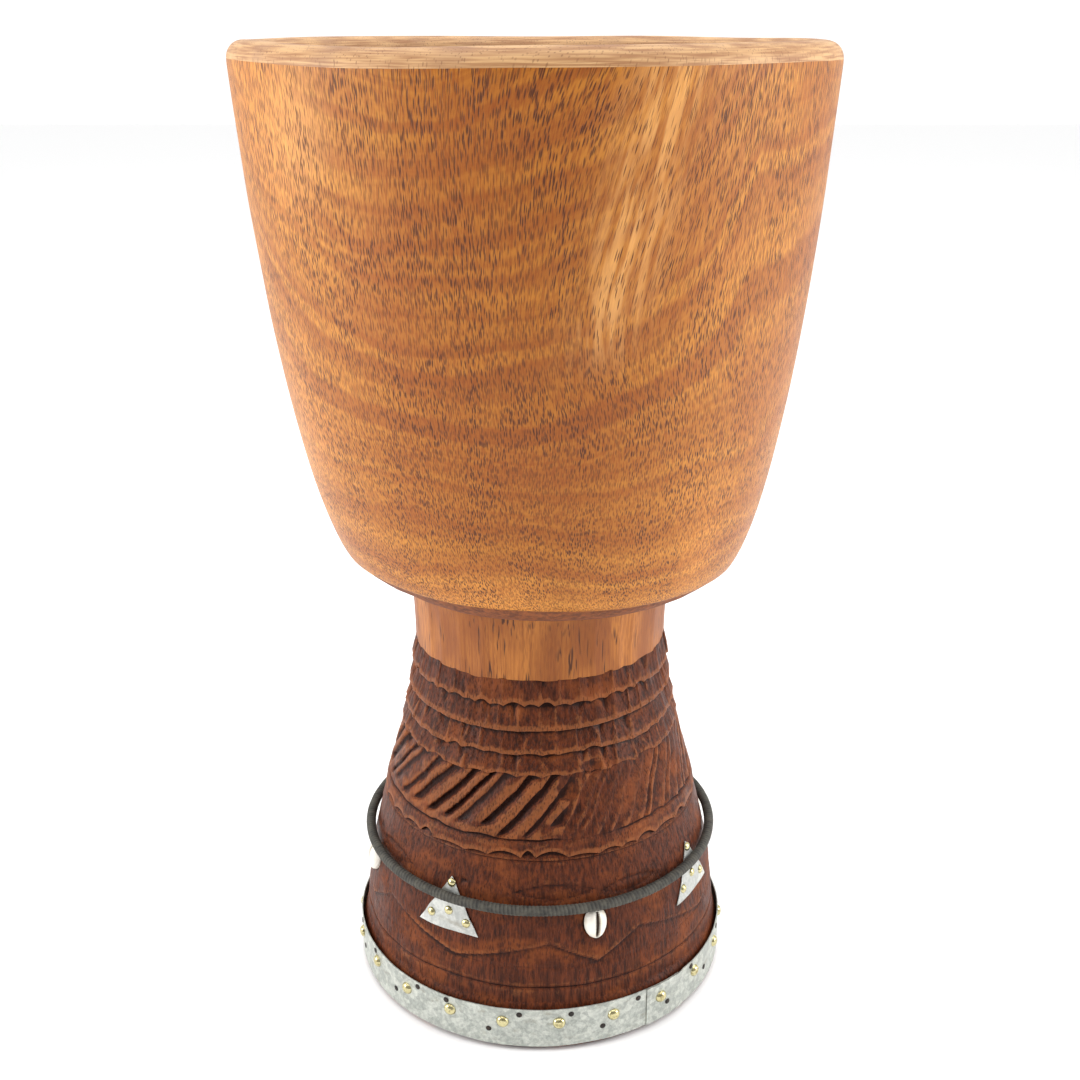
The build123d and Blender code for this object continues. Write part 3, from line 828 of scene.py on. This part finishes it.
def cowrie():
    """A cowrie from end to end: an oval outline, a domed lip each side of the slit and a flat base."""
    along = -np.cos(np.linspace(0.06, pi - 0.06, 56))[:, None]
    oval = np.sqrt(1 - along**2) ** 0.86 * (1 + 0.07 * along)
    half = np.cos(np.linspace(0, pi / 2, 13))[None, :-1]
    side = np.concatenate([-half, [[-0.035, 0.0, 0.035]], half[:, ::-1]], 1)
    lip = (1 - np.abs(side) ** 2.3) ** 0.6
    near_slit = 1 - step(np.abs(side), 0.0, 0.30)
    teeth = 0.5 + 0.5 * np.cos(along * 46 + 0.9 * side)
    slit_run = step(along, -0.93, -0.80) * (1 - step(along, 0.80, 0.93))
    slit = slit_run * (1 - step(np.abs(side), 0.04 + 0.04 * teeth, 0.15 + 0.10 * teeth))
    top = COWRIE_DOME * oval**0.75 * lip - 0.9 * near_slit * slit_run - 2.3 * slit
    base = -2.1 * oval**0.6 * np.sqrt(np.clip(1 - side[:, 1:-1] ** 2, 0, 1)) ** 0.5
    across = COWRIE_WIDTH / 2 * oval * side
    loop_across = np.concatenate([across, across[:, 1:-1][:, ::-1]], 1)
    loop_out = np.concatenate([top, base[:, ::-1]], 1)
    loop_along = COWRIE_LENGTH / 2 * along + 0 * loop_across
    # How deep each point lies in the slit, which the material turns into painted shade.
    depth = np.concatenate([slit + 0.4 * near_slit * slit_run, 0 * base], 1)
    return np.stack([loop_across, loop_along, loop_out], -1), depth


cowries = []
cowrie_rows, slit_shade_depth = cowrie()
cowrie_points, cowrie_faces = capped_tube(cowrie_rows)
slit_shade_values = np.concatenate([slit_shade_depth[:1] * 0, slit_shade_depth, slit_shade_depth[-1:] * 0])
for index, cowrie_name in enumerate(COWRIE_NAMES):
    point, right, up, out = place_on_foot(COWRIE_ANGLE + QUARTER * index, COWRIE_MIDDLE)
    tilt = radians(COWRIE_TILTS[index])
    right, up = right * cos(tilt) + up * sin(tilt), up * cos(tilt) - right * sin(tilt)
    placed = point + cowrie_points @ np.stack([right, up, out])
    cowries.append(make_piece(f"{cowrie_name}_shell", placed, cowrie_faces, "shell", "cowrie_shell",
                              (f"{cowrie_name}_cowrie",), sharp=60))
    write_attribute(cowries[-1], "slit", slit_shade_values.reshape(-1, 1))

# %% [markdown]
# ## The loose ring
# A ring of iron rod is wound with narrow dark tape, turn over turn. Each turn laps the one before,
# so the ring has a fine slanted ridge for every turn. It lies free on the foot and is moved by its
# slide joint.

# %% Ring
RING_HEIGHT = 98.5
RING_RADIUS = 115.86
RING_TUBE = 3.4
TAPE_TURNS = 300
RING_STATIONS = 2100  # loops round the ring, seven to each turn of the tape
RING_SIDES = 16

ring_angle = (np.arange(RING_STATIONS) * 360 / RING_STATIONS)[:, None]
section = (np.arange(RING_SIDES) * 360 / RING_SIDES)[None, :]
turn_place = np.mod(ring_angle / 360 * TAPE_TURNS + section / 360, 1)
ridge = turn_place**0.8 * (1 - step(turn_place, 0.82, 1.0))
uneven = lattice(ring_angle / 360 * 90 + 0 * section, np.abs(turned(section)) / 60, 441, 90)
tube = RING_TUBE - 0.42 + 0.36 * ridge + 0.10 * uneven
swing = 0.25 * np.cos(np.radians(2 * ring_angle + 40))
ring_points = round_drum(
    RING_RADIUS + swing + tube * np.cos(np.radians(section)),
    ring_angle,
    RING_HEIGHT + tube * np.sin(np.radians(section)),
)
ring_faces = grid_faces(RING_STATIONS, RING_SIDES, True, True)
ring = make_piece("taped_ring", ring_points, ring_faces, "loose_ring", "ring_cloth", ("ring_wrap", "ring_rod"))
write_attribute(ring, "ridge", (ridge + 0.3 * uneven)[..., None])

# %% [markdown]
# ## Helpers: materials from nodes
# Every finish is worked out by Blender's own noise, from a place on the piece. Short helpers add
# one node each, so a material below reads from its place to its colour, its gloss and its bumps.

# %% Material helpers


def screen(red, green, blue):
    """A colour given as it looks on a screen, from 0 to 255, as the linear values that Blender wants."""
    share = np.array([red, green, blue]) / 255
    linear = np.where(share <= 0.04045, share / 12.92, ((share + 0.055) / 1.055) ** 2.4)
    return (*[float(value) for value in linear], 1.0)


def put(tree, kind, inputs=None, **settings):
    """Adds a node with its settings. An input given a socket is joined to it, and any other is set."""
    new = tree.nodes.new(kind)
    for field, setting in settings.items():
        setattr(new, field, setting)
    for key, value in (inputs or {}).items():
        if isinstance(value, bpy.types.NodeSocket):
            tree.links.new(value, new.inputs[key])
        else:
            new.inputs[key].default_value = value
    return new


def stretched(tree, place, size):
    """The place measured in cells of a given size in millimetres along x, y and z."""
    cells = tuple(1 / value for value in size)
    return put(tree, "ShaderNodeVectorMath", {0: place, 1: cells}, operation="MULTIPLY").outputs[0]


def cloud(tree, place, size, detail=2.0, rough=0.5, bend=0.0):
    """Noise from 0 to 1, with blobs of a given size in millimetres."""
    inputs = {"Vector": stretched(tree, place, size), "Scale": 1.0, "Detail": detail, "Roughness": rough,
              "Distortion": bend}
    return put(tree, "ShaderNodeTexNoise", inputs).outputs[0]


def specks(tree, place, size):
    """Distance to the nearest of many scattered specks, whose cells have a given size in millimetres."""
    inputs = {"Vector": stretched(tree, place, size), "Scale": 1.0}
    return put(tree, "ShaderNodeTexVoronoi", inputs).outputs["Distance"]


def ramp(tree, value, low, high, start=0.0, finish=1.0):
    """Carries a value from one range to another with smooth ends."""
    inputs = {"Value": value, "From Min": low, "From Max": high, "To Min": start, "To Max": finish}
    return put(tree, "ShaderNodeMapRange", inputs, interpolation_type="SMOOTHSTEP").outputs[0]


def sums(tree, kind, first, second):
    """One piece of arithmetic on two numbers, such as ADD or MULTIPLY."""
    return put(tree, "ShaderNodeMath", {0: first, 1: second}, operation=kind).outputs[0]


def blend(tree, share, first, second, kind="MIX"):
    """Mixes a second colour into the first."""
    inputs = {0: share, 6: first, 7: second}
    return put(tree, "ShaderNodeMix", inputs, data_type="RGBA", blend_type=kind).outputs[2]


def start_material(name, colour, roughness, metallic=0.0):
    """A new material with plain values: they are what a material shows before any noise is added."""
    material = bpy.data.materials.new(name)
    material.use_nodes = True
    material.diffuse_color = colour
    shader = material.node_tree.nodes["Principled BSDF"]
    shader.inputs["Base Color"].default_value = colour
    shader.inputs["Roughness"].default_value = roughness
    shader.inputs["Metallic"].default_value = metallic
    return material, material.node_tree, shader


def finish_shader(tree, shader, colour=None, roughness=None, height=None, depth=0.0002):
    """Joins a colour, a roughness and a bump height to the shader. The bump's full rise is in metres."""
    if colour is not None:
        tree.links.new(colour, shader.inputs["Base Color"])
    if roughness is not None:
        tree.links.new(roughness, shader.inputs["Roughness"])
    if height is not None:
        bump = put(tree, "ShaderNodeBump", {"Strength": 1.0, "Distance": depth, "Height": height})
        tree.links.new(bump.outputs[0], shader.inputs["Normal"])


def stored(tree, name, output="Fac"):
    """An attribute that a piece stores for its material."""
    return put(tree, "ShaderNodeAttribute", attribute_name=name).outputs[output]


def in_millimetres(tree):
    """The place on the object in millimetres."""
    place = put(tree, "ShaderNodeTexCoord").outputs["Object"]
    return put(tree, "ShaderNodeVectorMath", {0: place, 1: (1000, 1000, 1000)}, operation="MULTIPLY").outputs[0]


# %% [markdown]
# ## The sanded bowl
# The bowl's wood is pale orange-brown with broad soft bands. Its pores are open vessels that run
# along the fibres: where the wall is upright they show as short dark dashes, and where it turns in
# they are cut across and show as dots. Where the fibres lean most, a pale streak is painted on as a
# sheen, and the wood is a little glossier there.

# %% Bowl wood


def wood_pores(tree, place, size, low, high):
    """Dark dashes from 0 to 1, stronger in some places than in others."""
    marks = ramp(tree, specks(tree, place, size), low, high, 1.0, 0.0)
    strength = ramp(tree, cloud(tree, place, (14, 14, 40)), 0.35, 0.60, 0.55, 1.0)
    return sums(tree, "MULTIPLY", marks, strength)


def sanded_wood():
    """The bowl: bands from the figure, fine fibres, pores, a painted sheen streak, and painted shade and highlight
    from the tone.
    """
    material, tree, shader = start_material("sanded_bowl_wood", screen(205, 145, 88), 0.42)
    shader.inputs["Coat Weight"].default_value = 0.12
    shader.inputs["Coat Roughness"].default_value = 0.38
    shader.inputs["Specular IOR Level"].default_value = 0.25
    fibre, figure, lean_and_painted_sheen = stored(tree, "fibre", "Vector"), stored(tree, "figure"), stored(tree, "lean_and_painted_sheen")
    wobble = sums(tree, "MULTIPLY", cloud(tree, fibre, (22, 22, 16), 2.0), 0.6)
    across = {"W": sums(tree, "ADD", figure, wobble), "Scale": 0.8, "Detail": 3.0, "Roughness": 0.6}
    stripe = put(tree, "ShaderNodeTexNoise", across, noise_dimensions="1D").outputs[0]
    colour = blend(tree, ramp(tree, stripe, 0.28, 0.72), screen(168, 100, 32), screen(198, 132, 50))
    broad = cloud(tree, fibre, (90, 90, 150), 2.0)
    colour = blend(tree, ramp(tree, broad, 0.50, 0.70, 0.0, 0.55), colour, screen(222, 148, 66))
    colour = blend(tree, ramp(tree, broad, 0.48, 0.30, 0.0, 0.45), colour, screen(164, 92, 30))
    fibres = cloud(tree, fibre, (0.8, 0.8, 38), 2.0)
    colour = blend(tree, ramp(tree, fibres, 0.42, 0.62, 0.0, 0.6), colour, screen(146, 76, 24))
    # Painted shade round the front of the bowl and a painted highlight at its upper left, from the stored tone.
    tone = stored(tree, "tone")
    colour = blend(tree, ramp(tree, tone, 0.0, 1.0, 0.0, 0.9), colour, screen(226, 208, 158), "MULTIPLY")
    colour = blend(tree, ramp(tree, tone, 0.0, -0.8, 0.0, 0.35), colour, screen(240, 182, 118))
    # A painted sheen streak where the fibres lean.
    sheen_strands = ramp(tree, cloud(tree, fibre, (4, 4, 90), 2.0), 0.35, 0.65, 0.06, 0.5)
    painted_sheen = sums(tree, "MULTIPLY", lean_and_painted_sheen, sheen_strands)
    colour = blend(tree, painted_sheen, colour, screen(246, 186, 112))
    short = wood_pores(tree, fibre, (0.8, 0.8, 9), 0.26, 0.54)
    long = wood_pores(tree, fibre, (1.0, 1.0, 22), 0.20, 0.42)
    pores = put(tree, "ShaderNodeMix", {0: ramp(tree, lean_and_painted_sheen, 0.15, 0.6), 2: short, 3: long}).outputs[0]
    colour = blend(tree, sums(tree, "MULTIPLY", pores, 0.92), colour, screen(70, 30, 8))
    roughness = ramp(tree, lean_and_painted_sheen, 0.0, 1.0, 0.46, 0.34)
    surface = sums(tree, "SUBTRACT", sums(tree, "MULTIPLY", fibres, 0.35), pores)
    finish_shader(tree, shader, colour, roughness, surface, 0.00012)
    return material


def rim_wood():
    """The rim: the same wood, paler, scraped round and showing its end grain as fine level streaks."""
    material, tree, shader = start_material("scraped_rim_wood", screen(196, 150, 108), 0.55)
    fibre = stored(tree, "fibre", "Vector")
    streaks = cloud(tree, fibre, (26, 26, 1.1), 2.0)
    colour = blend(tree, ramp(tree, streaks, 0.3, 0.7), screen(160, 112, 70), screen(206, 162, 112))
    dirt = cloud(tree, fibre, (30, 30, 30), 2.0)
    colour = blend(tree, ramp(tree, dirt, 0.5, 0.75, 0.0, 0.4), colour, screen(150, 110, 84))
    pores = wood_pores(tree, fibre, (1.3, 1.3, 6), 0.16, 0.34)
    colour = blend(tree, sums(tree, "MULTIPLY", pores, 0.55), colour, screen(104, 62, 34))
    finish_shader(tree, shader, colour, None, streaks, 0.0002)
    return material


def neck_wood():
    """The neck: pale and planed, with soft streaks and a few dark checks that run up it."""
    material, tree, shader = start_material("planed_neck_wood", screen(196, 132, 72), 0.5)
    shader.inputs["Specular IOR Level"].default_value = 0.3
    place = in_millimetres(tree)
    broad = cloud(tree, place, (26, 26, 60), 2.0)
    colour = blend(tree, ramp(tree, broad, 0.35, 0.65), screen(140, 78, 27), screen(180, 112, 46))
    streaks = cloud(tree, place, (1.5, 1.5, 50), 3.0, 0.6)
    colour = blend(tree, ramp(tree, streaks, 0.38, 0.66, 0.0, 0.6), colour, screen(128, 66, 22))
    checks = ramp(tree, cloud(tree, place, (1.5, 1.5, 18), 1.0), 0.60, 0.68, 0.0, 0.9)
    grouped = ramp(tree, cloud(tree, place, (14, 14, 22), 1.0), 0.45, 0.60)
    checks = sums(tree, "MULTIPLY", checks, grouped)
    colour = blend(tree, checks, colour, screen(60, 26, 10))
    pores = wood_pores(tree, place, (0.9, 0.9, 9), 0.22, 0.46)
    colour = blend(tree, sums(tree, "MULTIPLY", pores, 0.45), colour, screen(110, 58, 26))
    surface = sums(tree, "SUBTRACT", sums(tree, "MULTIPLY", streaks, 0.6), checks)
    finish_shader(tree, shader, colour, None, surface, 0.0002)
    return material


def adzed_wood(name, dark, light, roughness):
    """Wood left from the tool: streaks along the log and small torn marks."""
    material, tree, shader = start_material(name, light, roughness)
    place = in_millimetres(tree)
    streaks = cloud(tree, place, (3.0, 3.0, 40), 3.0, 0.6)
    colour = blend(tree, ramp(tree, streaks, 0.3, 0.7), dark, light)
    torn = cloud(tree, place, (2.2, 2.2, 5), 3.0, 0.6)
    colour = blend(tree, ramp(tree, torn, 0.5, 0.75, 0.0, 0.4), colour, dark)
    finish_shader(tree, shader, colour, None, sums(tree, "ADD", streaks, torn), 0.0004)
    return material


bowl_woods = (  # in the order of NECK, UNDERSIDE, BOWL, RIM and INSIDE
    neck_wood(),
    adzed_wood("raw_underside_wood", screen(84, 40, 16), screen(140, 76, 32), 0.75),
    sanded_wood(),
    rim_wood(),
    adzed_wood("gouged_inside_wood", screen(112, 66, 36), screen(168, 112, 66), 0.7),
)
for wood in bowl_woods:
    bowl.data.materials.append(wood)

# %% [markdown]
# ## The stained foot
# The foot is stained red-brown. Painted shade makes it near black in the cuts and in the bore, and
# the stain is rubbed off on edges that stand out, so the carving reads even in flat light. Each piece
# has stored how far every point stands out, and the material turns that into painted shade and wear.

# %% Foot wood


def stained_wood():
    """The foot: streaked red-brown stain, painted shade near black in the cuts and the bore, and worn to light brown
    on the edges.
    """
    material, tree, shader = start_material("stained_foot_wood", screen(104, 54, 36), 0.5)
    shader.inputs["Specular IOR Level"].default_value = 0.15
    place, painted_shade_and_wear = in_millimetres(tree), stored(tree, "painted_shade_and_wear")
    streaks = cloud(tree, place, (2.0, 2.0, 30), 4.0, 0.65)
    colour = blend(tree, ramp(tree, streaks, 0.30, 0.70), screen(46, 19, 9), screen(102, 49, 25))
    blotches = cloud(tree, place, (30, 30, 20), 4.0, 0.6)
    colour = blend(tree, ramp(tree, blotches, 0.48, 0.70, 0.0, 0.6), colour, screen(134, 70, 32))
    uneven = sums(tree, "MULTIPLY", cloud(tree, place, (2.5, 2.5, 4), 4.0, 0.7), 0.9)
    wear_and_shade_level = sums(tree, "ADD", painted_shade_and_wear, uneven)
    colour = blend(tree, ramp(tree, wear_and_shade_level, 0.60, 1.05, 0.0, 0.45), colour, screen(160, 96, 54))
    # Painted shade, near black, down in the cuts and in the bore.
    colour = blend(tree, ramp(tree, wear_and_shade_level, 0.32, -0.25, 0.0, 0.92), colour, screen(34, 13, 8))
    pores = wood_pores(tree, place, (1.1, 1.1, 7), 0.20, 0.44)
    colour = blend(tree, sums(tree, "MULTIPLY", pores, 0.6), colour, screen(48, 22, 15))
    gloss = ramp(tree, blotches, 0.35, 0.65, 0.42, 0.6)
    surface = sums(tree, "SUBTRACT", sums(tree, "MULTIPLY", streaks, 0.8), pores)
    finish_shader(tree, shader, colour, gloss, surface, 0.0003)
    return material


foot_stain = stained_wood()
for wall in (foot_carved, foot_lower):
    wall.data.materials.append(foot_stain)

# %% [markdown]
# ## Metal, shell and tape
# Galvanised sheet is a grey zinc coat that shows its crystals. Tin plate is duller and stained. The
# tacks are pale brass, the nails are black iron, a cowrie is glossy and ivory with painted shade,
# dark brown, down in its slit between the teeth, and the tape is dark, matt and greenish grey.

# %% Small materials


def sheet_metal(name, dark, light, crystal, roughness):
    """Dull sheet: crystals of a given size in millimetres, a fine mottle, a few stains and soft dents."""
    material, tree, shader = start_material(name, light, roughness, 0.6)
    place = in_millimetres(tree)
    cells = put(tree, "ShaderNodeTexVoronoi", {"Vector": stretched(tree, place, (crystal,) * 3), "Scale": 1.0})
    grey = put(tree, "ShaderNodeSeparateColor", {0: cells.outputs["Color"]}).outputs[0]
    mottle = cloud(tree, place, (2.4, 2.4, 2.4), 4.0, 0.7)
    tone = sums(tree, "ADD", sums(tree, "MULTIPLY", grey, 0.22), mottle)
    colour = blend(tree, ramp(tree, tone, 0.35, 0.90), dark, light)
    stains = ramp(tree, cloud(tree, place, (11, 11, 6), 3.0), 0.58, 0.75, 0.0, 0.5)
    colour = blend(tree, stains, colour, screen(138, 132, 116))
    gloss = ramp(tree, mottle, 0.3, 0.7, roughness - 0.08, roughness + 0.14)
    finish_shader(tree, shader, colour, gloss, cloud(tree, place, (3, 3, 3), 3.0), 0.00015)
    return material


def plain_metal(name, colour, stain, roughness, metallic):
    """A small cast or stamped head with a little tarnish."""
    material, tree, shader = start_material(name, colour, roughness, metallic)
    tarnish = cloud(tree, in_millimetres(tree), (1.6, 1.6, 1.6), 3.0)
    mixed = blend(tree, ramp(tree, tarnish, 0.45, 0.7, 0.0, 0.7), colour, stain)
    finish_shader(tree, shader, mixed, None, tarnish, 0.00006)
    return material


def cowrie_gloss():
    """Ivory shell with a warm flush and painted shade, dark brown, down in its slit."""
    material, tree, shader = start_material("cowrie_ivory", screen(242, 236, 222), 0.22)
    place, slit = in_millimetres(tree), stored(tree, "slit")
    flush = cloud(tree, place, (7, 7, 7), 1.0)
    colour = blend(tree, ramp(tree, flush, 0.45, 0.75, 0.0, 0.5), screen(244, 239, 228), screen(232, 214, 184))
    # Painted shade, dark brown, down in the slit.
    colour = blend(tree, ramp(tree, slit, 0.15, 0.9, 0.0, 0.95), colour, screen(62, 34, 20))
    finish_shader(tree, shader, colour)
    return material


def cloth_tape():
    """Dark grey-green tape: lighter on the lapped edges, dusty, with a fine weave."""
    material, tree, shader = start_material("dark_cloth_tape", screen(66, 66, 58), 0.8)
    place, ridge = in_millimetres(tree), stored(tree, "ridge")
    dust = cloud(tree, place, (5, 5, 5), 4.0, 0.65)
    colour = blend(tree, ramp(tree, dust, 0.35, 0.7), screen(40, 39, 36), screen(76, 73, 64))
    colour = blend(tree, ramp(tree, ridge, 0.2, 1.1, 0.0, 0.45), colour, screen(98, 95, 86))
    weave = cloud(tree, place, (0.5, 0.5, 0.5), 1.0)
    finish_shader(tree, shader, colour, None, weave, 0.00015)
    return material


zinc = sheet_metal("galvanised_zinc", screen(150, 154, 148), screen(204, 207, 198), 4.0, 0.42)
tin = sheet_metal("dull_tin_plate", screen(166, 168, 164), screen(206, 207, 202), 9.0, 0.5)
brass = plain_metal("pale_brass", screen(206, 197, 150), screen(128, 112, 70), 0.16, 1.0)
iron = plain_metal("black_iron", screen(46, 42, 40), screen(74, 54, 42), 0.55, 0.6)
ivory, tape = cowrie_gloss(), cloth_tape()
finishes = (
    (zinc, [band]), (tin, patches), (brass, [domes, *patch_tacks]), (iron, [upper_nails, lower_nails]),
    (ivory, cowries), (tape, [ring]),
)
for finish, pieces in finishes:
    for piece in pieces:
        piece.data.materials.append(finish)

# %% [markdown]
# ## Floor and light
# The drum stands on a plain white floor in a white room. A large soft light overhead and a smaller
# one on each side draw its form, and the bright room all round it lights its edges.

# %% Floor and lights
FLOOR_SIZE = 16.0

floor_mesh = bpy.data.meshes.new("floor")
floor_corners = np.array([(-1, -1, 0), (1, -1, 0), (1, 1, 0), (-1, 1, 0)], float) * FLOOR_SIZE / 2
floor_mesh.from_pydata(floor_corners.tolist(), [], [(0, 1, 2, 3)])
floor = bpy.data.objects.new("floor", floor_mesh)
bpy.context.scene.collection.objects.link(floor)
floor_paint, _, _ = start_material("pale_floor", (0.98, 0.98, 0.98, 1.0), 0.6)
floor.data.materials.append(floor_paint)


def soft_light(name, place, aim, size, power):
    """A square area light in metres and watts, turned from its place towards its aim."""
    data = bpy.data.lights.new(name, "AREA")
    data.size, data.energy = size, power
    light = bpy.data.objects.new(name, data)
    light.location = place
    direction = np.array(place) - np.array(aim)
    flat = float(np.hypot(direction[0], direction[1]))
    pitch, heading = np.arctan2(flat, direction[2]), np.arctan2(direction[0], -direction[1])
    light.rotation_euler = (float(pitch), 0.0, float(heading))
    bpy.context.scene.collection.objects.link(light)


soft_light("overhead", (0.0, 0.4, 2.8), (0.0, 0.4001, 0.0), 3.6, 45)
soft_light("left_box", (-2.0, -0.5, 0.9), (0, 0, 0.4), 1.2, 30)
soft_light("right_box", (2.0, -0.4, 0.9), (0, 0, 0.4), 1.2, 28)

# %% [markdown]
# The room is white behind and above the drum and dimmer in front of it. That leaves the front of
# the round wall darker than its sides, and puts a bright sheen on its edges. The Standard view adds
# no film curve, so a white floor stays white.

# %% Room
ROOM_FRONT, ROOM_BEHIND = 0.42, 1.12  # brightness of the room's two sides
BRIGHT_SIDE = (0.0, 1.0, 0.55)  # towards the back and up

bpy.context.scene.view_settings.view_transform = "Standard"
world = bpy.data.worlds.new("white_room")
world.use_nodes = True
room = world.node_tree
direction = put(room, "ShaderNodeTexCoord").outputs["Generated"]
facing = put(room, "ShaderNodeVectorMath", {0: direction, 1: BRIGHT_SIDE}, operation="DOT_PRODUCT")
brightness = ramp(room, facing.outputs["Value"], -0.60, 0.35, ROOM_FRONT, ROOM_BEHIND)
room.nodes["Background"].inputs["Color"].default_value = (1.0, 1.0, 1.0, 1.0)
room.links.new(brightness, room.nodes["Background"].inputs["Strength"])
bpy.context.scene.world = world
